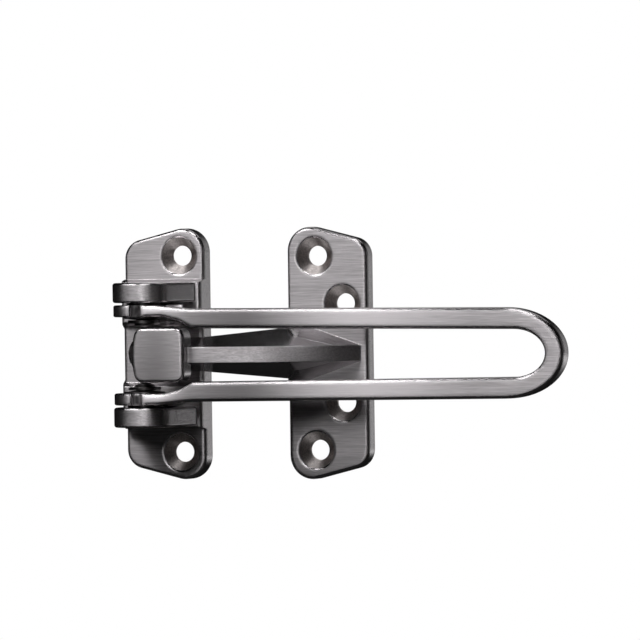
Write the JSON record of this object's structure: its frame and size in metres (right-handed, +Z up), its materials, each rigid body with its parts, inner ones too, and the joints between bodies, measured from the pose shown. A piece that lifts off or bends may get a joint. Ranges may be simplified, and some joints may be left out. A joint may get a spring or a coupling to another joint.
{
  "type": "swing bar door guard",
  "caption": "Door guard with a slotted U-shaped bar that swings on a hinge plate and catches a horned square knob on a keeper plate.",
  "frame": {"origin": "centre of the hinge plate's back face, on the wall plane", "axes": "+X along the bar from the hinge plate to the keeper, +Y into the wall, +Z up along the hinge line"},
  "size_m": [0.1281, 0.0232, 0.065],
  "materials": {
    "brushed_nickel": "dark nickel plate, brushed along the bar",
    "dark_steel": "dark plated steel, satin"
  },
  "bodies": {
    "plates": {"hinge_plate": "brushed_nickel", "keeper_plate": "brushed_nickel", "upper_pivot_pin": "dark_steel", "upper_thrust_washer": "dark_steel", "upper_spring_washer": "dark_steel", "upper_flat_washer": "dark_steel", "lower_pivot_pin": "dark_steel", "lower_thrust_washer": "dark_steel", "lower_spring_washer": "dark_steel", "lower_flat_washer": "dark_steel"},
    "bar": {"swing_bar": "brushed_nickel"}
  },
  "joints": [
    {"name": "bar_swing", "type": "hinge", "parent": "plates", "child": "bar", "pos_m": [-0.0011, -0.0152, 0], "axis": [0, 0, -1], "range_deg": [0, 180]}
  ]
}
